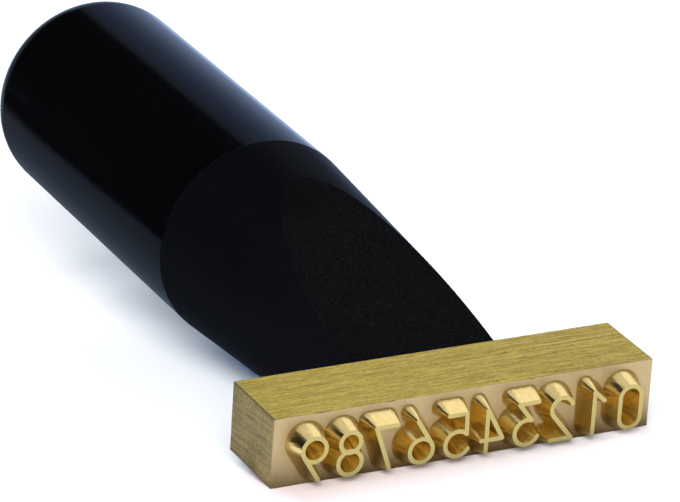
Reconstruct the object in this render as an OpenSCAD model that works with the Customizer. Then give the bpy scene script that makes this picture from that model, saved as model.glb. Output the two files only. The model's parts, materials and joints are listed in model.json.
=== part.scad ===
// Hand stamp: a brass die with a raised, mirror-reading row of figures, bolted to a black
// nose that screws on to a polished black grip. It lies on a table, resting on the front
// lower edge of the die and on the low point of the nose.
// The pieces are drawn standing up, die down, with the handle's axis on +Z and the seat
// between die and nose at z = 0. lie_down() then lays the whole stamp on the table.

/* [Handle] */
// Diameter of the grip, and of the nose where the two meet
handle_d = 30; // [27:0.5:36]
// Length of the polished grip
grip_l = 61; // [45:0.5:80]
// Radius of the edge round the grip's rear end
rear_edge_r = 6.25; // [2:0.25:8]
// Length of the tapered nose
nose_l = 49; // [44:0.5:60]
// Diameter that the nose's taper has reached at the die
tip_d = 23.4; // [21:0.2:25]
// Thickness of the nose at the die, between its two milled flats
tip_t = 7.5; // [6.5:0.1:9]
// Slope of each milled flat against the handle's axis, in degrees
flat_angle = 15.6; // [14:0.1:18]

/* [Die] */
// Length of the die, across the handle
die_l = 55; // [53:0.5:80]
// Height of the die, across the two flats of the nose
die_h = 9.7; // [9:0.1:13]
// Depth of the die, from its seat on the nose to the floor of the relief
die_d = 12; // [11:0.25:16]

/* [Relief] */
// Height of the figures above the floor of the relief
relief_h = 2.8; // [1.5:0.1:3]
// Draft of the relief's walls, in degrees
relief_draft = 18; // [10:0.5:20]
// Width of a stroke on the printing face
stroke_w = 0.6; // [0.4:0.05:0.8]
// Height of a figure on the printing face
figure_h = 6.5; // [6:0.1:7]
// Width of a figure on the printing face
figure_w = 3.7; // [3.6:0.05:4]
// Distance from one figure to the next
figure_pitch = 5.1; // [4.9:0.05:5.2]
// How far the row of figures sits below the middle of the die
figure_drop = 0.15; // [0:0.05:0.4]

/* [Die screws] */
// Thread diameter of the two screws that hold the die
screw_d = 3; // [2.5:0.5:3.5]
// Length of a screw under its head
screw_l = 25; // [24:0.5:26]
// Diameter of a screw's head
head_d = 5.5; // [4.5:0.1:5.8]
// Height of a screw's head
head_h = 3; // [2:0.1:4]
// Width across flats of the hexagon key that turns a screw
key_w = 2.5; // [1.5:0.1:3]
// Distance between the two screws
screw_gap = 15; // [14.4:0.1:16]
// Distance from the die's seat to the ledge that a screw's washer sits on
ledge_z = 18; // [16:0.5:24]
// Outer diameter of a washer
washer_d = 6; // [5.8:0.1:6.2]
// Thickness of a washer
washer_t = 0.5; // [0.3:0.1:1]

/* [Grip stud] */
// Thread diameter of the stud that joins the grip to the nose
stud_d = 6; // [5:0.5:6]
// Depth of the stud in the nose
stud_in_nose = 13; // [10:0.5:18]
// Length of the stud that stands out of the nose, into the grip
stud_out = 12.5; // [8:0.5:13]
// Width across flats of the hexagon key that turns the stud
stud_key_w = 3; // [2:0.1:3.2]
// Outer diameter of the threaded insert in the grip
insert_d = 9; // [8.5:0.25:12]
// Length of the threaded insert
insert_l = 13; // [13:0.5:18]

/* [Clearances] */
// Gap between the grip's front face and the nose
face_gap = 0.05; // [0.02:0.01:0.1]
// Radial gap round a screw thread in its tapped hole
thread_gap = 0.03; // [0.02:0.01:0.1]
// Radial gap round a screw's shank where it passes through the nose
shank_gap = 0.2; // [0.1:0.05:0.3]
// Radial gap round a washer in its counterbore
washer_gap = 0.1; // [0.05:0.05:0.2]
// Depth left free past the end of a screw or stud in a blind hole
end_gap = 1.5; // [0.5:0.25:2.5]

/* [Hidden] */
$fn = 96;
// Overlap that lets a cut run past the face it opens
over = 1;
handle_r = handle_d / 2;
tip_r = tip_d / 2;
handle_l = nose_l + face_gap + grip_l;
// Radius that the taper gains, and half thickness that a flat gains, for each millimetre of length
taper = (handle_r - tip_r) / nose_l;
flat_rise = tan(flat_angle);
// The point where a flat runs out on the taper, which is the nose's low point on the table
apex_z = (tip_r - tip_t / 2) / (flat_rise - taper);
apex_r = tip_r + taper * apex_z;
// How far the handle tips forward when the die's front edge and a point at z, at radius r, both
// touch the table. The nose's low point touches first, or the grip's edge if the flats run out past it.
function lean(z, r) = atan((r - die_h / 2) / (z + die_d));
tilt = max(lean(apex_z, apex_r), lean(nose_l + face_gap, handle_r));

// Half width of a stroke at its top and at its foot, which is sunk a little into the die
bury = 0.3;
top_w = stroke_w / 2;
foot_w = top_w + (relief_h + bury) * tan(relief_draft);
// A round stroke end is a hair slimmer than its stroke, so that no two walls run along each other
cap_scale = 0.97;
// Width and height of a figure between the middles of its outer strokes
cw = figure_w - stroke_w;
ch = figure_h - stroke_w;
// Figures from left to right as they print
FIGURES = [0, 1, 2, 3, 4, 5, 6, 7, 8, 9];

shank_z = ledge_z + washer_t - screw_l;
tapped_depth = -shank_z + end_gap;
key_depth_share = 0.5;
stud_l = stud_in_nose + stud_out;
stud_chamfer = stud_d / 10;
insert_groove = 0.4;
insert_bore_r = stud_d / 2 + thread_gap;

// Extent of the stamp along Y once it lies down, which puts the origin under its middle
figure_top = figure_h / 2 - figure_drop;
front_y = -(die_d + relief_h) * cos(tilt) - figure_top * sin(tilt);
rear_y = (handle_l - rear_edge_r) * cos(tilt) + (handle_r - rear_edge_r) * sin(tilt) + rear_edge_r;
table_z = -die_d * sin(tilt) - die_h / 2 * cos(tilt);

black_gloss = "#0c0c11";
black_matt = "#191a1e";
brass = "#c8a850";
steel = "#9da0a4";

module lie_down() {
    translate([0, -(front_y + rear_y) / 2, -table_z])
        rotate([tilt - 90, 0, 0])
            children();
}

// A hexagon socket of width w across its flats, cut downwards from z = 0
module key_socket(w, depth) {
    translate([0, 0, -depth])
        cylinder(h = depth + over, d = w / cos(30), $fn = 6);
}

// Places a child at each side's screw: side is -1 on the left, 1 on the right
module at_screw(side) {
    translate([side * screw_gap / 2, 0, 0])
        children();
}

// Cross-section of a raised stroke that runs round a point at radius r, with its foot cut off
// at the point where a tight curve would cross the middle
module curved_profile(r) {
    least = 0.05;
    inner = r - foot_w;
    meet_z = relief_h - (r - least - top_w) / tan(relief_draft);
    polygon(concat(
        [[r + foot_w, -bury], [r + top_w, relief_h], [r - top_w, relief_h]],
        inner > least ? [[inner, -bury]] : [[least, meet_z], [least, -bury]]
    ));
}

module straight_profile() {
    polygon([[-foot_w, -bury], [foot_w, -bury], [top_w, relief_h], [-top_w, relief_h]]);
}

module round_end(at) {
    translate([at.x, at.y, -bury])
        cylinder(h = relief_h + bury, r1 = foot_w * cap_scale, r2 = top_w * cap_scale);
}

module line_stroke(from, to) {
    run = to - from;
    translate([from.x, from.y, 0])
        rotate([0, 0, atan2(run.y, run.x)])
            rotate([90, 0, 90])
                linear_extrude(norm(run))
                    straight_profile();
}

module arc_stroke(centre, r, start, sweep) {
    translate([centre.x, centre.y, 0])
        rotate([0, 0, start])
            rotate_extrude(angle = sweep)
                curved_profile(r);
}

function on_arc(centre, r, a) = centre + r * [cos(a), sin(a)];

// Straight strokes from point to point, with one round end at each point
module chain(points) {
    for (i = [0:len(points) - 2])
        line_stroke(points[i], points[i + 1]);
    for (p = points)
        round_end(p);
}

// A curved stroke with two round ends
module bow(centre, r, start, sweep) {
    arc_stroke(centre, r, start, sweep);
    round_end(on_arc(centre, r, start));
    round_end(on_arc(centre, r, start + sweep));
}

module ring(centre, r) {
    arc_stroke(centre, r, 0, 360);
}

// Each figure stands on y = 0, centred on x = 0, with its strokes placed in shares of cw and ch
module figure_0() {
    r = cw / 2;
    arc_stroke([0, ch - r], r, 0, 180);
    arc_stroke([0, r], r, 180, 180);
    for (side = [-1, 1])
        line_stroke([side * r, r], [side * r, ch - r]);
}

module figure_1() {
    stem = 0.12 * cw;
    chain([[stem, 0], [stem, ch], [-0.36 * cw, 0.77 * ch]]);
}

module figure_2() {
    r = cw / 2;
    head = [0, ch - r];
    foot = [-r, 0];
    join = -35;
    tail = 170;
    bow(head, r, join, tail - join);
    line_stroke(on_arc(head, r, join), foot);
    chain([foot, [r, 0]]);
}

module figure_3() {
    r = 0.3 * ch;
    bowl = [0, r];
    corner = [0.42 * cw, ch];
    join = 110;
    tail = -155;
    chain([[-cw / 2, ch], corner]);
    line_stroke(corner, on_arc(bowl, r, join));
    bow(bowl, r, tail, join - tail);
}

module figure_4() {
    stem = 0.25 * cw;
    crook = [-cw / 2, 0.27 * ch];
    chain([[stem, 0], [stem, ch], crook, [cw / 2, crook.y]]);
}

module figure_5() {
    r = 0.3 * ch;
    bowl = [-0.04 * cw, r];
    shoulder = [-0.4 * cw, ch];
    join = 135;
    tail = -150;
    chain([shoulder, [0.42 * cw, ch]]);
    line_stroke(shoulder, on_arc(bowl, r, join));
    bow(bowl, r, tail, join - tail);
}

module figure_6() {
    r = 0.28 * ch;
    bowl = [0, r];
    ring(bowl, r);
    chain([on_arc(bowl, r, 145), [0.22 * cw, ch]]);
}

module figure_7() {
    chain([[-cw / 2, ch], [cw / 2, ch], [-0.18 * cw, 0]]);
}

module figure_8() {
    lower = 0.28 * ch;
    upper = 0.24 * ch;
    ring([0, lower], lower);
    ring([0, ch - upper], upper);
}

module figure_9() {
    translate([0, ch, 0])
        rotate([0, 0, 180])
            figure_6();
}

module figure(n) {
    if (n == 0) figure_0();
    if (n == 1) figure_1();
    if (n == 2) figure_2();
    if (n == 3) figure_3();
    if (n == 4) figure_4();
    if (n == 5) figure_5();
    if (n == 6) figure_6();
    if (n == 7) figure_7();
    if (n == 8) figure_8();
    if (n == 9) figure_9();
}

// The row of figures, standing on the die's front face and reading in the mirror
module relief() {
    last = len(FIGURES) - 1;
    translate([0, figure_drop, -die_d])
        mirror([0, 0, 1])
            rotate([0, 0, 180])
                for (i = [0:last])
                    translate([(i - last / 2) * figure_pitch, -ch / 2, 0])
                        figure(FIGURES[i]);
}

module brass_die() {
    color(brass)
        lie_down()
            difference() {
                union() {
                    translate([-die_l / 2, -die_h / 2, -die_d])
                        cube([die_l, die_h, die_d]);
                    relief();
                }
                for (side = [-1, 1])
                    at_screw(side)
                        translate([0, 0, -tapped_depth])
                            cylinder(h = tapped_depth + over, r = screw_d / 2 + thread_gap);
            }
}

// The two milled flats leave a wedge that thins towards the die
module wedge() {
    reach = nose_l + over;
    near = tip_t / 2 - over * flat_rise;
    far = tip_t / 2 + reach * flat_rise;
    translate([-handle_d, 0, 0])
        rotate([90, 0, 90])
            linear_extrude(2 * handle_d)
                polygon([[-near, -over], [near, -over], [far, reach], [-far, reach]]);
}

module nose() {
    color(black_matt)
        lie_down()
            difference() {
                intersection() {
                    cylinder(h = nose_l, r1 = tip_r, r2 = handle_r);
                    wedge();
                }
                for (side = [-1, 1])
                    at_screw(side) {
                        translate([0, 0, -over])
                            cylinder(h = nose_l, r = screw_d / 2 + shank_gap);
                        translate([0, 0, ledge_z])
                            cylinder(h = nose_l, r = washer_d / 2 + washer_gap);
                    }
                translate([0, 0, nose_l - stud_in_nose])
                    cylinder(h = stud_in_nose + over, r = stud_d / 2 + thread_gap);
            }
}

module grip() {
    bore_r = insert_d / 2;
    free_r = stud_d / 2 + shank_gap;
    corner = [handle_r - rear_edge_r, grip_l - rear_edge_r];
    color(black_gloss)
        lie_down()
            translate([0, 0, nose_l + face_gap])
                difference() {
                    union() {
                        cylinder(h = grip_l - rear_edge_r, r = handle_r);
                        translate([0, 0, grip_l - rear_edge_r])
                            rotate_extrude() {
                                square([corner.x, rear_edge_r]);
                                translate([corner.x, 0])
                                    intersection() {
                                        circle(rear_edge_r);
                                        square(rear_edge_r);
                                    }
                            }
                    }
                    translate([0, 0, -over])
                        cylinder(h = insert_l + over, r = bore_r);
                    cylinder(h = insert_l + end_gap, r = free_r);
                }
}

// A plain bush with two grooves that the grip's plastic keys into
module grip_insert() {
    r = insert_d / 2;
    groove_l = insert_l / 7;
    color(brass)
        lie_down()
            translate([0, 0, nose_l + face_gap])
                difference() {
                    cylinder(h = insert_l, r = r);
                    translate([0, 0, -over])
                        cylinder(h = insert_l + 2 * over, r = insert_bore_r);
                    for (place = [2, 4])
                        translate([0, 0, place * groove_l])
                            difference() {
                                cylinder(h = groove_l, r = r + over);
                                translate([0, 0, -over])
                                    cylinder(h = groove_l + 2 * over, r = r - insert_groove);
                            }
                }
}

module stud() {
    r = stud_d / 2;
    c = stud_chamfer;
    color(steel)
        lie_down()
            translate([0, 0, nose_l - stud_in_nose])
                difference() {
                    rotate_extrude()
                        polygon([[0, 0], [r - c, 0], [r, c], [r, stud_l - c], [r - c, stud_l], [0, stud_l]]);
                    translate([0, 0, stud_l])
                        key_socket(stud_key_w, stud_d * key_depth_share);
                }
}

module die_screw(side) {
    color(steel)
        lie_down()
            at_screw(side)
                translate([0, 0, ledge_z + washer_t])
                    difference() {
                        union() {
                            translate([0, 0, -screw_l])
                                cylinder(h = screw_l + over, r = screw_d / 2);
                            cylinder(h = head_h, r = head_d / 2);
                        }
                        translate([0, 0, head_h])
                            key_socket(key_w, head_h * key_depth_share);
                    }
}

module washer(side) {
    color(steel)
        lie_down()
            at_screw(side)
                translate([0, 0, ledge_z])
                    difference() {
                        cylinder(h = washer_t, r = washer_d / 2);
                        translate([0, 0, -over])
                            cylinder(h = washer_t + 2 * over, r = screw_d / 2 + shank_gap);
                    }
}

grip();
grip_insert();
stud();
nose();
brass_die();
die_screw(-1);  // left_die_screw
die_screw(1);  // right_die_screw
washer(-1);  // left_washer
washer(1);  // right_washer
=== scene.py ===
import json
from math import asin, cos, pi, radians, sin

import bmesh
import bpy
from mathutils import Matrix, Vector

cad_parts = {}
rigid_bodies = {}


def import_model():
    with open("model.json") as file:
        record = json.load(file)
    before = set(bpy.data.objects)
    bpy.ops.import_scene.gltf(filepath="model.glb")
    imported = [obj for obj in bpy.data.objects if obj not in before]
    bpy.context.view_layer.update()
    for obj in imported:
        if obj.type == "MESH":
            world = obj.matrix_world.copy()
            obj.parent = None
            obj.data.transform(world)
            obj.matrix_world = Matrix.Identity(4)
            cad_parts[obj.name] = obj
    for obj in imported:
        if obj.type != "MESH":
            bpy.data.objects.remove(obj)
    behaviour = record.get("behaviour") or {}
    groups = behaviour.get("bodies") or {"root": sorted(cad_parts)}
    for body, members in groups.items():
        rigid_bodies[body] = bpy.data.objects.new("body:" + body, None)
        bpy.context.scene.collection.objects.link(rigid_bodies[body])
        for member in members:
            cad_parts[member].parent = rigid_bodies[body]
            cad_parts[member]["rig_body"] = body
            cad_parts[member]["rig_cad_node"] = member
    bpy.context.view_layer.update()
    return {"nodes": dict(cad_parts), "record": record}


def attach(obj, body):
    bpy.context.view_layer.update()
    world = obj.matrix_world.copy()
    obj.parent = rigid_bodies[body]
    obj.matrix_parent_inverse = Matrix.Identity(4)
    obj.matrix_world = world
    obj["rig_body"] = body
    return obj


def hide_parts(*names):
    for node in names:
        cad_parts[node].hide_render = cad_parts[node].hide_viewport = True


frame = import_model()
mm = 0.001
print("frame loaded:", ", ".join(sorted(frame["nodes"])))

# how the stamp lies: pieces are made standing on the die's seat, axis up, and then laid down
handle = {
    "radius": 15 * mm,
    "noseLength": 49 * mm,
    "jointGap": 0.05 * mm,
    "gripLength": 61 * mm,
}
rearFace = next(m for m in frame["record"]["mounts"] if m["name"] == "rear_face")
handleAxis = Vector(rearFace["axis"]).normalized()
gripStart = handle["noseLength"] + handle["jointGap"]
seat = Vector(rearFace["pos_m"]) - handleAxis * (gripStart + handle["gripLength"])
lean = asin(handleAxis.z) - pi / 2
layDown = Matrix.Translation(seat) @ Matrix.Rotation(lean, 4, "X")

# how cuts and choices are made
bench = {
    "level": 0.001 * mm,  # points this close are at one height
    "facing": 0.999,  # a normal's share along the axis, on a flat end
    "planeThickness": 0.00001 * mm,  # a thicker cutting plane takes in points beside it
    "past": 1 * mm,  # how far a cutter stands out of what it cuts
    "cutterSides": 64,
}


# small hand tools

def letGo():  # object mode, nothing selected
    if bpy.context.object and bpy.context.object.mode != "OBJECT":
        bpy.ops.object.mode_set(mode="OBJECT")
    bpy.ops.object.select_all(action="DESELECT")


def hold(piece):  # the one selected, active object
    letGo()
    piece.select_set(True)
    bpy.context.view_layer.objects.active = piece


def edit(piece):
    hold(piece)
    bpy.ops.object.mode_set(mode="EDIT")


def pick(kind, test):  # selects the edges or faces that pass, in edit mode
    bpy.ops.mesh.select_mode(type=kind)
    bpy.ops.mesh.select_all(action="DESELECT")
    shape = bmesh.from_edit_mesh(bpy.context.object.data)
    chosen = [x for x in (shape.faces if kind == "FACE" else shape.edges) if test(x)]
    for item in chosen:
        item.select_set(True)
    bmesh.update_edit_mesh(bpy.context.object.data)
    return len(chosen)


def isAt(z, height):
    return abs(z - height) < bench["level"]


def ringAt(height):  # edges that lie at one height
    return lambda e: all(isAt(v.co.z, height) for v in e.verts)


def capAt(height):  # the flat faces at one height
    return lambda f: isAt(f.calc_center_median().z, height) and abs(f.normal.z) > bench["facing"]


def pull(x, y, z):  # extrudes what is selected
    bpy.ops.mesh.extrude_region_move(TRANSFORM_OT_translate={"value": (x, y, z)})


def sliceOff(point, outward):  # cuts off what lies outside a plane and closes the cut
    bpy.ops.mesh.select_all(action="SELECT")
    bpy.ops.mesh.bisect(
        plane_co=point, plane_no=outward, use_fill=True, clear_outer=True, threshold=bench["planeThickness"]
    )


def named(name):
    piece = bpy.context.object
    piece.name = piece.data.name = name
    return piece


def settle(piece):  # place, turn and size go into the mesh
    hold(piece)
    bpy.ops.object.transform_apply(location=True, rotation=True, scale=True)
    return piece


def cutAway(piece, cutters, kind="DIFFERENCE"):  # exact cuts, one cutter at a time
    for cutter in cutters:
        hold(piece)
        cut = piece.modifiers.new("cut", "BOOLEAN")
        cut.operation = kind
        cut.solver = "EXACT"
        cut.object = cutter
        bpy.ops.object.modifier_apply(modifier=cut.name)
        bpy.data.objects.remove(cutter)


def rod(name, radius, low, high, x=0.0, sides=bench["cutterSides"]):  # stands on the axis or beside it
    letGo()
    bpy.ops.mesh.primitive_cylinder_add(
        vertices=sides, radius=radius, depth=high - low, location=(x, 0, (low + high) / 2)
    )
    return settle(named(name))


def smoothTo(piece, angle):
    hold(piece)
    bpy.ops.object.shade_smooth_by_angle(angle=radians(angle))


def wear(piece, *finishes):
    piece.data.materials.clear()
    for finish in finishes:
        piece.data.materials.append(finish)


def layAndRide(piece, body, node):
    piece.matrix_world = layDown @ piece.matrix_world
    settle(piece)
    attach(piece, body)
    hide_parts(node)
    print("made", piece.name, "with", len(piece.data.polygons), "faces")
    return piece


# shader maths

class Wire:  # a socket that takes part in sums
    def __init__(self, finish, socket):
        self.finish = finish
        self.socket = socket

    def math(self, operation, a, b):
        return self.finish.node("Math", {"operation": operation}, {0: a, 1: b})

    def __add__(self, other):
        return self.math("ADD", self, other)

    def __sub__(self, other):
        return self.math("SUBTRACT", self, other)

    def __rsub__(self, other):
        return self.math("SUBTRACT", other, self)

    def __mul__(self, other):
        return self.math("MULTIPLY", self, other)

    __radd__ = __add__
    __rmul__ = __mul__

    def step(self, low, high):  # 0 below low, 1 above high, smooth between
        settings = {"interpolation_type": "SMOOTHSTEP"}
        return self.finish.node("MapRange", settings, {"Value": self, "From Min": low, "From Max": high})


class Finish:  # a node tree under one name
    def __init__(self, name, world=False):
        self.owner = (bpy.data.worlds if world else bpy.data.materials).new(name)
        self.owner.use_nodes = True
        self.tree = self.owner.node_tree
        self.tree.nodes.clear()

    def node(self, kind, settings, inputs, output=0):
        made = self.tree.nodes.new("ShaderNode" + kind)
        for key, value in settings.items():
            setattr(made, key, value)
        for key, value in inputs.items():
            if isinstance(value, Wire):
                self.tree.links.new(value.socket, made.inputs[key])
            else:
                made.inputs[key].default_value = value
        return Wire(self, made.outputs[output]) if made.outputs else None

    def standing(self, stretch=(1, 1, 1)):  # millimetres in the standing frame, drawn out by stretch
        place = self.node("TexCoord", {}, {}, "Object")
        size = tuple(mm * s for s in stretch)
        turned = {"Vector": place, "Location": seat, "Rotation": (lean, 0, 0), "Scale": size}
        return self.node("Mapping", {"vector_type": "TEXTURE"}, turned)

    def along(self, axis, place=None):  # one coordinate, in the standing frame unless a place is given
        return self.node("SeparateXYZ", {}, {"Vector": place or self.standing()}, axis)

    def noise(self, scale, stretch=(1, 1, 1), detail=3.0, rough=0.55, place=None):
        where = place or self.standing(stretch)
        grain = {"Vector": where, "Scale": scale, "Detail": detail, "Roughness": rough}
        return self.node("TexNoise", {}, grain, "Fac")

    def mix(self, share, a, b):  # colours
        settings = {"data_type": "RGBA"}
        return self.node("Mix", settings, {0: share, 6: opaque(a), 7: opaque(b)}, 2)

    def bump(self, height, depth):  # depth in millimetres
        return self.node("Bump", {}, {"Height": height, "Strength": 1.0, "Distance": depth * mm})

    def principled(self, **sockets):
        names = {key.replace("_", " "): opaque(value) for key, value in sockets.items()}
        return self.node("BsdfPrincipled", {}, names)

    def surface(self, shader):
        self.node("OutputMaterial", {}, {"Surface": shader})
        return self.owner

    def skin(self, **sockets):
        return self.surface(self.principled(**sockets))


def opaque(colour):
    return (*colour, 1.0) if isinstance(colour, tuple) and len(colour) == 3 else colour


# finishes: a step's two limits are shares of a noise, or millimetres in the standing frame
# there x runs to the right, y down towards the table and z up the handle from the die's seat
tones = {  # base colours, darkest first
    "polishedBlack": ((0.0005, 0.0005, 0.0007), (0.0011, 0.0011, 0.0015)),
    "turnedBlack": ((0.0013, 0.0015, 0.0019), (0.0048, 0.0053, 0.0066)),
    "milledBlack": ((0.0020, 0.0021, 0.0024), (0.0083, 0.0087, 0.0096)),
    "drawnBrass": ((0.25, 0.18, 0.030), (1.0, 0.76, 0.245), (1.0, 0.84, 0.185)),
    "groundBrass": ((0.147, 0.113, 0.052), (0.78, 0.635, 0.318)),
    "paintedShadeBrass": ((0.15, 0.112, 0.055), (0.42, 0.33, 0.165)),
    "satinBrass": ((0.24, 0.145, 0.045), (0.45, 0.34, 0.175), (0.65, 0.51, 0.30)),
    "engravedBrass": ((0.60, 0.425, 0.135), (0.85, 0.70, 0.355)),
    "facedBrass": ((0.45, 0.366, 0.127), (0.66, 0.554, 0.238)),
    "turnedSteel": ((0.36, 0.37, 0.39), (0.62, 0.63, 0.65)),
    "turnedBrass": ((0.55, 0.43, 0.15), (0.83, 0.68, 0.30)),
}


def polishedBlack():
    finish = Finish("polishedBlack")
    haze = finish.noise(scale=0.35, stretch=(1, 1, 6))
    scratch = finish.noise(scale=9.0, stretch=(1, 1, 40), detail=2.0).step(0.62, 0.72)
    return finish.skin(
        Base_Color=finish.mix(haze, *tones["polishedBlack"]),
        Roughness=0.08 + haze * 0.06 + scratch * 0.05,
        IOR=1.42,
        Specular_Tint=(0.78, 0.88, 1.0),
        Normal=finish.bump(scratch, depth=0.002),
    )


def turnedBlack():
    finish = Finish("turnedBlack")
    grain = finish.noise(scale=3.2, detail=4.0, rough=0.62)
    fleck = grain.step(0.52, 0.72)
    rings = finish.noise(scale=5.0, stretch=(200, 200, 1), detail=2.0)
    y, z = finish.along("Y"), finish.along("Z")
    paleTowardsDie = 1 - z.step(2.0, 34.0)  # paler towards the die
    under = y.step(-7.0, 2.5)  # painted light: paler lower down
    # painted shade: darker on top
    top = (y * -1).step(10.5, 14.0)
    tone = (grain * 0.4 + fleck * 0.6 + paleTowardsDie * 0.35 + under * 0.45) * (1 - top * 0.7)
    return finish.skin(
        Base_Color=finish.mix(tone, *tones["turnedBlack"]),
        Roughness=0.25 + grain * 0.12,
        IOR=1.45,
        Specular_IOR_Level=0.010,
        Specular_Tint=(0.80, 0.90, 1.0),
        Normal=finish.bump(grain * 0.6 + rings * 0.4, depth=0.03),
    )


def milledBlack():
    finish = Finish("milledBlack")
    grain = finish.noise(scale=3.5, detail=5.0, rough=0.7)
    fleck = grain.step(0.49, 0.66)
    cloud = finish.noise(scale=0.35)
    x, z = finish.along("X"), finish.along("Z")
    darkerCorner = z.step(27.5, 33.0) * (1 - x.step(-3.0, 5.0))  # darker, with fewer pale flecks, on the left towards the grip end
    tone = (fleck * 0.75 + cloud * 0.25) * (1 - darkerCorner * 0.6)
    return finish.skin(
        Base_Color=finish.mix(tone, *tones["milledBlack"]),
        Roughness=0.50 + grain * 0.18,
        IOR=1.45,
        Specular_IOR_Level=0.001,
        Normal=finish.bump(grain, depth=0.05),
    )


def drawnBrass():
    finish = Finish("drawnBrass")
    dark, rich, pale = tones["drawnBrass"]
    dash = finish.noise(scale=4.4, stretch=(14, 1, 1), detail=5.0, rough=0.75)
    line = finish.noise(scale=3.4, stretch=(60, 1, 1), detail=5.0, rough=0.7)
    grit = finish.noise(scale=4.6, stretch=(2.4, 1, 1), detail=5.0, rough=0.75)
    patch = finish.noise(scale=0.5, stretch=(4, 1, 1))
    pit = finish.noise(scale=1.9, stretch=(1.8, 1, 1), detail=2.0).step(0.66, 0.73)
    drawn = dash.step(0.34, 0.66)
    tone = drawn * 0.34 + line.step(0.32, 0.68) * 0.26 + grit.step(0.30, 0.70) * 0.30 + patch * 0.10
    paintedShadeRight = finish.along("X").step(-27.0, 27.0)  # painted shade: darker from the left end to the right
    tone = tone * (1 - pit * 0.60) + 0.11 - paintedShadeRight * 0.17
    hue = finish.mix(grit.step(0.36, 0.64), rich, pale)
    return finish.skin(
        Base_Color=finish.mix(tone, dark, hue),
        Metallic=1.0,
        Roughness=0.60 - drawn * 0.10 + grit * 0.08,
        Normal=finish.bump(dash * 0.5 + grit * 0.5, depth=0.06),
    )


def groundBrass():
    finish = Finish("groundBrass")
    slant = finish.node("Mapping", {}, {"Vector": finish.standing(), "Rotation": (radians(4), 0, 0)})
    long = finish.node("Mapping", {}, {"Vector": slant, "Scale": (1, 1, 0.04)})
    short = finish.node("Mapping", {}, {"Vector": slant, "Scale": (1, 1, 0.16)})
    scratch = finish.noise(scale=3.8, detail=4.0, rough=0.7, place=long).step(0.34, 0.66)
    score = finish.noise(scale=6.0, detail=4.0, rough=0.7, place=short).step(0.34, 0.66)
    grit = finish.noise(scale=3.4, detail=5.0, rough=0.75).step(0.32, 0.68)
    y, ahead = finish.along("Y"), finish.along("Z") * -1
    # painted shade: darker towards the front
    front = ahead.step(3.0, 6.5)
    foot = ahead.step(6.0, 10.5) * y.step(1.0, 4.6)  # painted light: paler at the lower front corner
    lip = 1 - y.step(-3.8, -1.0)  # the upper edge
    tone = scratch * 0.34 + score * 0.26 + grit * 0.40 + 0.03 - front * 0.11 + foot * 0.62 + lip * 0.15
    return finish.skin(
        Base_Color=finish.mix(tone, *tones["groundBrass"]),
        Metallic=0.9,
        Roughness=0.52 + grit * 0.12,
        Normal=finish.bump(scratch * 0.5 + grit * 0.5, depth=0.03),
    )


# painted shade: a dark brass on the bevels of the ends and in the nicks, for the shade along them
def paintedShadeBrass():
    finish = Finish("paintedShadeBrass")
    grit = finish.noise(scale=5.0, detail=4.0, rough=0.65)
    return finish.skin(
        Base_Color=finish.mix(grit, *tones["paintedShadeBrass"]),
        Metallic=0.9,
        Roughness=0.50 + grit * 0.15,
        Normal=finish.bump(grit, depth=0.02),
    )


def satinBrass():
    finish = Finish("satinBrass")
    paintedShadeTone, dark, light = tones["satinBrass"]
    grain = finish.noise(scale=6.0, detail=4.0)
    sweep = finish.noise(scale=1.6, stretch=(1, 9, 1))
    tone = grain.step(0.30, 0.70) * 0.6 + sweep * 0.4
    x, y = finish.along("X"), finish.along("Y")
    amid = 1 - (x * x).step(340.0, 560.0)  # gone 24 mm either side of the middle
    paintedLowShade = y.step(1.2, 4.8) * amid * (0.45 + sweep * 0.5)  # painted shade: darker low down, between the figures
    return finish.skin(
        Base_Color=finish.mix(paintedLowShade, finish.mix(tone, dark, light), paintedShadeTone),
        Metallic=0.9,
        Roughness=0.42 + grain * 0.12,
        Normal=finish.bump(grain * 0.6 + sweep * 0.4, depth=0.02),
    )


def engravedBrass():
    finish = Finish("engravedBrass")
    cutter = finish.noise(scale=3.2, stretch=(1, 1, 12), detail=2.0, rough=0.4)  # up the slope of a wall
    grain = finish.noise(scale=2.5, detail=2.0)
    return finish.skin(
        Base_Color=finish.mix(cutter * 0.6 + grain * 0.4, *tones["engravedBrass"]),
        Metallic=1.0,
        Roughness=0.18 + grain * 0.12,
        Normal=finish.bump(cutter, depth=0.035),
    )


def facedBrass():
    finish = Finish("facedBrass")
    grain = finish.noise(scale=6.0, stretch=(12, 1, 1), detail=4.0)
    return finish.skin(
        Base_Color=finish.mix(grain, *tones["facedBrass"]),
        Metallic=1.0,
        Roughness=0.34 + grain * 0.14,
        Normal=finish.bump(grain, depth=0.01),
    )


def turnedMetal(name, smoothest):
    finish = Finish(name)
    rings = finish.noise(scale=8.0, stretch=(60, 60, 1))
    return finish.skin(
        Base_Color=finish.mix(rings, *tones[name]),
        Metallic=1.0,
        Roughness=smoothest + rings * 0.14,
        Normal=finish.bump(rings, depth=0.01),
    )


def turnedSteel():
    return turnedMetal("turnedSteel", smoothest=0.28)


def turnedBrass():
    return turnedMetal("turnedBrass", smoothest=0.26)


# grip: turned rod with a round rear edge and a pocket for its threaded insert
grip = {
    "facets": 256,
    "rearRound": 6.25 * mm,
    "rearSteps": 24,
    "frontEdge": 0.02 * mm,
    "frontSteps": 2,
    "endBand": 0.2 * mm,  # keeps both ends flat beside their edges
    "pocketRadius": 4.5 * mm,
    "pocketDepth": 13 * mm,
    "clearRadius": 3.2 * mm,
    "clearDepth": 1.5 * mm,
    "smoothAngle": 20,
}


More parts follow.
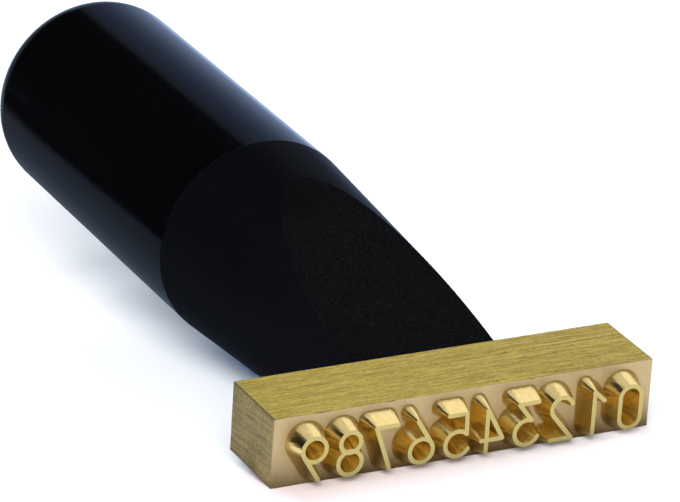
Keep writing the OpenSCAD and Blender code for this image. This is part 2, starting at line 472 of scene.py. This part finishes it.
def makeGrip():
    low, high = gripStart, gripStart + handle["gripLength"]
    piece = rod("gripRod", handle["radius"], low, high, sides=grip["facets"])
    edit(piece)
    pick("EDGE", ringAt(high))
    bpy.ops.mesh.bevel(offset=grip["rearRound"], segments=grip["rearSteps"], affect="EDGES")
    pick("FACE", capAt(high))
    bpy.ops.mesh.inset(thickness=grip["endBand"])
    pick("EDGE", ringAt(low))
    bpy.ops.mesh.bevel(offset=grip["frontEdge"], segments=grip["frontSteps"], affect="EDGES")
    pick("FACE", capAt(low))
    bpy.ops.mesh.inset(thickness=grip["endBand"])
    pocketStep = handle["radius"] - grip["frontEdge"] - grip["endBand"] - grip["pocketRadius"]
    bpy.ops.mesh.inset(thickness=pocketStep)
    pull(0, 0, grip["pocketDepth"])
    bpy.ops.mesh.inset(thickness=grip["pocketRadius"] - grip["clearRadius"])
    pull(0, 0, grip["clearDepth"])
    letGo()
    smoothTo(piece, grip["smoothAngle"])
    wear(piece, polishedBlack())
    return layAndRide(piece, "grip", "grip")


# nose: cone with two milled flats, drilled for the die screws and the stud
nose = {
    "facets": 256,
    "tipRadius": 11.7 * mm,
    "tipThickness": 7.5 * mm,
    "flatAngle": radians(15.6),
    "rearEdge": 0.02 * mm,
    "rearSteps": 2,
    "screwX": 7.5 * mm,
    "shankRadius": 1.7 * mm,
    "washerRadius": 3.1 * mm,
    "ledge": 18 * mm,
    "studRadius": 3.03 * mm,
    "studDepth": 13 * mm,
    "smoothAngle": 8,
    "flatNormal": (0.9, -0.2),  # a flat's normal has more than this across and less than this along
}


def makeNose():
    length, past = handle["noseLength"], bench["past"]
    letGo()
    bpy.ops.mesh.primitive_cone_add(
        vertices=nose["facets"], radius1=nose["tipRadius"], radius2=handle["radius"], depth=length,
        location=(0, 0, length / 2),
    )
    piece = settle(named("noseCone"))
    edit(piece)
    pick("EDGE", ringAt(length))
    bpy.ops.mesh.bevel(offset=nose["rearEdge"], segments=nose["rearSteps"], affect="EDGES")
    for side in (-1, 1):
        outward = (0, side * cos(nose["flatAngle"]), -sin(nose["flatAngle"]))
        sliceOff((0, side * nose["tipThickness"] / 2, 0), outward)
    letGo()
    cutters = [rod("cutter", nose["studRadius"], length - nose["studDepth"], length + past)]
    for x in (-nose["screwX"], nose["screwX"]):
        cutters.append(rod("cutter", nose["shankRadius"], -past, length, x))
        cutters.append(rod("cutter", nose["washerRadius"], nose["ledge"], length + past, x))
    cutAway(piece, cutters)
    smoothTo(piece, nose["smoothAngle"])
    wear(piece, turnedBlack(), milledBlack())
    across, along = nose["flatNormal"]
    for face in piece.data.polygons:
        onFlat = abs(face.normal.y) > across and face.normal.z < along
        face.material_index = 1 if onFlat else 0
    return layAndRide(piece, "head", "nose")


# die: the solid's own figures on a bar whose edges are broken and nicked, each face with its own finish
die = {
    "length": 55 * mm,
    "height": 9.7 * mm,
    "depth": 12 * mm,
    "relief": 2.8 * mm,
    "edge": 0.14 * mm,
    "edgeSteps": 2,
    "nicks": ((-20.8 * mm, 1.1 * mm), (-11.0 * mm, 0.7 * mm), (9.5 * mm, 0.5 * mm)),  # place, half length
    "nickDepth": 0.10 * mm,
    "nickWidth": 1.6,  # times the depth
    "nickFacets": (24, 12),
    "weld": 0.0005 * mm,
    "sideSlack": 0.002 * mm,  # points this close lie on a side of the bar
    "cornerAngle": 1.0,  # radians; sides that meet at less make no corner
    "smoothAngle": 32,
    "finishes": {
        "long": drawnBrass,
        "end": groundBrass,
        "front": satinBrass,
        "wall": engravedBrass,
        "strokeTop": facedBrass,
        # painted shade on the broken edges and nicks
        "broken": paintedShadeBrass,
    },
    "planeSlack": 0.01 * mm,  # limits that tell the faces apart, by place and by normal
    "flat": 0.99,
    "square": 0.98,
    "forward": -0.8,
    "turned": 0.15,
}


def makeDie():
    hold(frame["nodes"]["brass_die"])
    bpy.ops.object.duplicate()
    piece = named("dieBar")
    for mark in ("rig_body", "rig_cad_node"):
        del piece[mark]
    piece.parent = None
    piece.matrix_world = layDown.inverted()
    settle(piece)
    edit(piece)
    bpy.ops.mesh.select_all(action="SELECT")
    bpy.ops.mesh.remove_doubles(threshold=die["weld"])
    bpy.ops.mesh.customdata_custom_splitnormals_clear()
    print("bar edges broken:", pick("EDGE", onBarEdge))
    bpy.ops.mesh.bevel(offset=die["edge"], segments=die["edgeSteps"], affect="EDGES")
    letGo()
    cutAway(piece, [nick(place, half) for place, half in die["nicks"]])
    smoothTo(piece, die["smoothAngle"])
    wear(piece, *(makeFinish() for makeFinish in die["finishes"].values()))
    kinds = list(die["finishes"])
    for face in piece.data.polygons:
        face.material_index = kinds.index(faceKind(face))
    return layAndRide(piece, "head", "brass_die")


def onBarEdge(e):  # an edge where two of the bar's six sides meet
    slack = die["sideSlack"]
    ends = [v.co for v in e.verts]
    sides = all(abs(abs(p.x) - die["length"] / 2) < slack for p in ends)
    sides += all(abs(abs(p.y) - die["height"] / 2) < slack for p in ends)
    sides += all(abs(p.z + die["depth"]) < slack or abs(p.z) < slack for p in ends)
    return sides > 1 and e.calc_face_angle(0) > die["cornerAngle"]


def nick(place, half):  # a long shallow dent in the upper front edge
    letGo()
    edge = (place, -die["height"] / 2, -die["depth"])
    around, up = die["nickFacets"]
    bpy.ops.mesh.primitive_uv_sphere_add(segments=around, ring_count=up, radius=1, location=edge)
    cutter = named("cutter")
    cutter.scale = (half, die["nickDepth"], die["nickDepth"] * die["nickWidth"])
    return settle(cutter)


def faceKind(face):  # where a face of the standing die lies
    n, at = face.normal, face.center
    frontPlane = -die["depth"]
    strokePlane = frontPlane - die["relief"]
    if at.z < frontPlane - die["planeSlack"]:
        onTop = n.z < -die["flat"] and at.z < strokePlane + die["planeSlack"]
        return "strokeTop" if onTop else "wall"
    bent = max(abs(n.y), abs(n.z)) < die["flat"]
    if at.y < 0 and bent and any(abs(at.x - place) < half for place, half in die["nicks"]):
        return "broken"
    endways = abs(n.x) > die["turned"]
    if n.z < die["forward"] or (endways and n.z < -die["turned"]):
        return "front"
    if endways:
        return "end" if abs(n.x) > die["square"] else "broken"
    return "long"


# the thread that holds the grip to the nose
thread = {
    "pitch": 1.0 * mm,
    "crestShare": 0.125,  # of the pitch
    "rootShare": 0.25,
    "turnSteps": 40,
    "leadIn": 2.01,  # turns below the lower cut; a whole number would put points on the cut
    "spareTurns": 5,
    "weld": 0.001 * mm,
}


def threadedRod(name, root, crest, low, high):  # closed, with plain cut ends
    pitch, rise = thread["pitch"], crest - root
    letGo()
    bpy.ops.mesh.primitive_plane_add(size=pitch, location=(root, 0, low - thread["leadIn"] * pitch))
    piece = settle(named(name))
    edit(piece)
    bpy.ops.mesh.select_mode(type="VERT")
    bpy.ops.mesh.select_all(action="SELECT")
    bpy.ops.mesh.merge(type="CENTER")
    valley, top = thread["rootShare"] * pitch, thread["crestShare"] * pitch
    flank = (pitch - valley - top) / 2
    for out, up in ((0, valley), (rise, flank), (0, top), (-rise, flank)):  # one ridge
        pull(out, 0, up)
    hold(piece)
    turns = piece.modifiers.new("turns", "SCREW")
    turns.axis = "Z"
    turns.screw_offset = pitch
    turns.iterations = int((high - low) / pitch) + thread["spareTurns"]
    turns.steps = turns.render_steps = thread["turnSteps"]
    turns.use_merge_vertices = True
    bpy.ops.object.modifier_apply(modifier=turns.name)
    edit(piece)
    bpy.ops.mesh.select_all(action="SELECT")
    bpy.ops.mesh.remove_doubles(threshold=thread["weld"])
    sliceOff((0, 0, low), (0, 0, -1))
    sliceOff((0, 0, high), (0, 0, 1))
    bpy.ops.mesh.select_all(action="SELECT")
    bpy.ops.mesh.normals_make_consistent(inside=False)
    letGo()
    return piece


# stud: a rolled thread with chamfered ends and a hexagon socket
stud = {
    "crest": 3.0 * mm,
    "root": 2.45 * mm,
    "inNose": 13 * mm,
    "length": 25.5 * mm,
    "chamfer": 0.6 * mm,
    "blankSpare": 0.05 * mm,  # the chamfered blank clears the crests by this
    "keyWidth": 3 * mm,
    "keyDepth": 3 * mm,
    "keySides": 6,
    "smoothAngle": 20,
}


def makeStud():
    low = handle["noseLength"] - stud["inNose"]
    high = low + stud["length"]
    piece = threadedRod("threadedStud", stud["root"], stud["crest"], low, high)
    blank = rod("cutter", stud["crest"] + stud["blankSpare"], low, high)
    edit(blank)
    pick("EDGE", lambda e: ringAt(low)(e) or ringAt(high)(e))
    bpy.ops.mesh.bevel(offset=stud["chamfer"], segments=1, affect="EDGES")
    letGo()
    cutAway(piece, [blank], "INTERSECT")
    keyRadius = stud["keyWidth"] / 2 / cos(pi / stud["keySides"])
    key = rod("cutter", keyRadius, high - stud["keyDepth"], high + bench["past"], sides=stud["keySides"])
    cutAway(piece, [key])
    smoothTo(piece, stud["smoothAngle"])
    wear(piece, turnedSteel())
    return layAndRide(piece, "head", "stud")


# insert: a grooved bush, countersunk and tapped, set in the grip's pocket
insert = {
    "radius": 4.5 * mm,
    "length": 13 * mm,
    "groove": 0.4 * mm,
    "grooveLength": 13 / 7 * mm,
    "threadInner": 3.03 * mm,
    "threadOuter": 3.42 * mm,
    "mouth": 3.7 * mm,
    "facets": 64,
    "smoothAngle": 20,
}


def makeInsert():
    radius, step, past = insert["radius"], insert["grooveLength"], bench["past"]
    widen = radius / (radius - insert["groove"])
    low, high = gripStart, gripStart + insert["length"]
    firstLand = low + 2 * step
    piece = rod("tappedInsert", radius, low, firstLand, sides=insert["facets"])
    edit(piece)
    pick("FACE", capAt(firstLand))
    for land in (step, 2 * step):  # groove, then the land above it
        bpy.ops.mesh.inset(thickness=insert["groove"])
        pull(0, 0, step)
        pull(0, 0, 0)
        bpy.ops.transform.resize(value=(widen, widen, 1), center_override=(0, 0, 0))
        pull(0, 0, land)
    letGo()
    tap = threadedRod("cutter", insert["threadInner"], insert["threadOuter"], low - past, high + past)
    reach = insert["mouth"] + past  # the countersink's wide end stands outside the face
    bpy.ops.mesh.primitive_cone_add(
        vertices=insert["facets"], radius1=reach, radius2=0, depth=reach,
        location=(0, 0, low - past + reach / 2),
    )
    sink = settle(named("cutter"))
    cutAway(piece, [tap, sink])
    smoothTo(piece, insert["smoothAngle"])
    wear(piece, turnedBrass())
    return layAndRide(piece, "grip", "grip_insert")


makeGrip()
makeNose()
makeDie()
makeStud()
makeInsert()
for steelNode in ("left_die_screw", "right_die_screw", "left_washer", "right_washer"):
    wear(frame["nodes"][steelNode], turnedSteel())
print("inner pieces dressed")

# floor: lit paper to the eye, while reflections see painted zones of light and shade; limits in metres or
# their squares
floor = {
    "size": 6.0,
    "paper": ((0.90, 0.90, 0.90), (0.93, 0.93, 0.93)),
    "paperGrain": 900.0,
    "paperRoughness": 0.8,
    "nearGlow": (0.0, 0.040, 0.105),  # fills the shadows
    "farGlow": (1.2, 1.2, 1.2),
    "farSquare": (0.03, 0.25),
    "warmPaintedShade": (0.80, 0.69, 0.68),  # painted warm shade on the paper before the die, where brass tints its own shade
    "warmGlow": (0.035, 0.033, 0.036),
    "warmStart": (0.045, 0.055),
    "warmEnd": (0.0600, 0.0715),
    "warmSideSquare": (0.00060, 0.00095),
    "warmFade": (-0.030, 0.065),  # weaker to the right
    "under": (0.10, 0.128, 0.18),  # from here on painted light and shade that only reflections see
    "underSquare": (0.015, 0.04),
    "left": (0.010, 0.010, 0.012),
    "right": (0.26, 0.32, 0.38),
    "divide": (-0.02, 0.02),  # between left and right, on a slant
    "divideSlant": 0.34,
    "blue": (0.53, 0.69, 1.05),
    "blueFrom": (0.0, 0.06),
    "front": (1.25, 1.25, 1.25),
    "frontFrom": (0.0, 0.04),
    "shade": (0.088, 0.053, 0.015),  # the die shades what lies before it
    "shadeEnd": (0.0575, 0.0670),
    "shadeSideSquare": (0.00076, 0.00122),
}


def paleFloor():
    finish = Finish("paleFloor")
    place = finish.node("TexCoord", {}, {}, "Object")
    x, y = finish.along("X", place), finish.along("Y", place)
    ahead = y * -1
    away = x * x + y * y
    divide = (x + y * floor["divideSlant"]).step(*floor["divide"])
    zones = finish.mix(divide, floor["left"], floor["right"])
    zones = finish.mix(away.step(*floor["underSquare"]), floor["under"], zones)
    zones = finish.mix(x.step(*floor["blueFrom"]), zones, floor["blue"])
    beside = (x * x).step(*floor["shadeSideSquare"])
    lit = 1 - (1 - ahead.step(*floor["shadeEnd"])) * (1 - beside)
    front = finish.mix(lit, floor["shade"], floor["front"])
    zones = finish.mix(ahead.step(*floor["frontFrom"]), zones, front)
    # painted light and shade for reflections alone
    reflected = finish.principled(
        Base_Color=(0.0, 0.0, 0.0),
        Specular_IOR_Level=0.0,
        Emission_Color=zones,
        Emission_Strength=1.0,
    )
    paper = finish.mix(finish.noise(scale=floor["paperGrain"], detail=2.0, place=place), *floor["paper"])
    # painted shade: a warm band on the paper just before the die, weaker to the right
    foot = ahead.step(*floor["warmStart"]) * (1 - ahead.step(*floor["warmEnd"]))
    warm = foot * (1 - (x * x).step(*floor["warmSideSquare"])) * (1 - x.step(*floor["warmFade"]))
    glow = finish.mix(warm, floor["nearGlow"], floor["warmGlow"])
    shown = finish.principled(
        Base_Color=finish.mix(warm, paper, floor["warmPaintedShade"]),
        Roughness=floor["paperRoughness"],
        Specular_IOR_Level=0.0,
        Emission_Color=finish.mix(away.step(*floor["farSquare"]), glow, floor["farGlow"]),
        Emission_Strength=1.0,
    )
    mirrored = finish.node("LightPath", {}, {}, "Is Glossy Ray")
    return finish.surface(finish.node("MixShader", {}, {0: mirrored, 1: shown, 2: reflected}))


def makeFloor():
    letGo()
    bpy.ops.mesh.primitive_plane_add(size=floor["size"], location=(0, 0, 0))
    sheet = named("floor")
    wear(sheet, paleFloor())


# lamps: wide and soft, for what is matt; reflections see the painted room instead
lamps = {
    "distance": 1.5,
    "each": {  # azimuth from +Y towards +X and elevation in degrees, size, power
        "front": (-152, 28, 0.8, 32.0),
        "left": (-120, 65, 0.9, 6.9),
        "back": (0, 28, 0.8, 12.6),
        "right": (90, 13, 0.6, 20.5),
    },
}


def makeLamp(name, azimuth, elevation, size, power):
    a, e = radians(azimuth), radians(elevation)
    place = Vector((sin(a) * cos(e), cos(a) * cos(e), sin(e))) * lamps["distance"]
    letGo()
    bpy.ops.object.light_add(type="AREA", location=place)
    lamp = bpy.context.object
    lamp.name = name
    lamp.data.shape = "SQUARE"
    lamp.data.size = size
    lamp.data.energy = power
    lamp.rotation_euler = (-place).to_track_quat("-Z", "Y").to_euler()
    lamp.visible_camera = lamp.visible_glossy = False


# painted room: dark, with a blue panel behind on the right, a bright ceiling, a soft box and a pale front
room = {  # limits are shares of a direction
    "dark": (0.010, 0.010, 0.012),
    "rear": (0.14, 0.17, 0.21),
    "rearFrom": (0.85, 0.97),
    "rearTop": (0.4, 0.6),
    "panel": ((0.32, 0.43, 0.68), (0.10, 0.145, 0.245)),  # low, high
    "panelRim": ((0.30, 0.35, 0.40), (0.096, 0.118, 0.148)),  # greyer, along its inner edge
    "panelAzimuth": radians(60),  # from +Y towards +X
    "panelFrom": (0.545, 0.585),
    "panelTop": (0.69, 0.72),
    "panelRise": (0.0, 0.62),
    "rimEnd": (0.57, 0.70),
    "front": (0.34, 0.34, 0.35),
    "frontFrom": (-0.1, 0.5),
    "ceiling": (0.88, 0.88, 0.88),
    "ceilingFrom": (0.77, 0.86),
    "box": (1.35, 1.35, 1.35),
    "boxAim": (0.683, 0.183, 0.707),  # high on the right
    "boxFrom": (0.82, 0.90),
}


def makeWorld():
    sky = Finish("studio", world=True)
    place = sky.node("TexCoord", {}, {}, "Generated")
    x, y, z = (sky.along(axis, place) for axis in "XYZ")
    side = room["panelAzimuth"]
    across = x * sin(side) + y * cos(side)
    rise = z.step(*room["panelRise"])
    blue = sky.mix(rise, *room["panel"])
    blue = sky.mix(across.step(*room["rimEnd"]), sky.mix(rise, *room["panelRim"]), blue)
    rear = y.step(*room["rearFrom"]) * (1 - z.step(*room["rearTop"]))
    panel = across.step(*room["panelFrom"]) * (1 - z.step(*room["panelTop"]))
    glow = sky.mix(panel, sky.mix(rear, room["dark"], room["rear"]), blue)
    glow = sky.mix((y * -1).step(*room["frontFrom"]), glow, room["front"])
    glow = sky.mix(z.step(*room["ceilingFrom"]), glow, room["ceiling"])
    aimX, aimY, aimZ = room["boxAim"]
    box = (x * aimX + y * aimY + z * aimZ).step(*room["boxFrom"])
    glow = sky.mix(box, glow, room["box"])
    light = sky.node("Background", {}, {"Color": glow, "Strength": 1.0})
    sky.node("OutputWorld", {}, {"Surface": light})
    bpy.context.scene.world = sky.owner
    sky.owner.cycles_visibility.diffuse = False  # the lamps alone light what is matt


camera = {
    "azimuth": radians(-26.475),
    "elevation": radians(14.097),
    "roll": radians(-1.42),
    "sensor": 36,
    "lens": 257.2,
    "distance": 669.466 * mm,
    "aim": seat + Vector((8.427, 39.829, 8.372)) * mm,
    "clip": (0.01, 20),
}


def makeCamera():
    a, e = camera["azimuth"], camera["elevation"]
    back = Vector((sin(a) * cos(e), -cos(a) * cos(e), sin(e)))
    letGo()
    bpy.ops.object.camera_add(location=camera["aim"] + back * camera["distance"])
    view = bpy.context.object
    level = (-back).to_track_quat("-Z", "Y").to_matrix()
    view.rotation_euler = (level @ Matrix.Rotation(camera["roll"], 3, "Z")).to_euler()
    view.data.sensor_width = camera["sensor"]
    view.data.lens = camera["lens"]
    view.data.clip_start, view.data.clip_end = camera["clip"]
    bpy.context.scene.camera = view


makeFloor()
for lampName, values in lamps["each"].items():
    makeLamp(lampName, *values)
makeWorld()
makeCamera()
bpy.context.scene.view_settings.view_transform = "Standard"
print("floor, light and camera set")
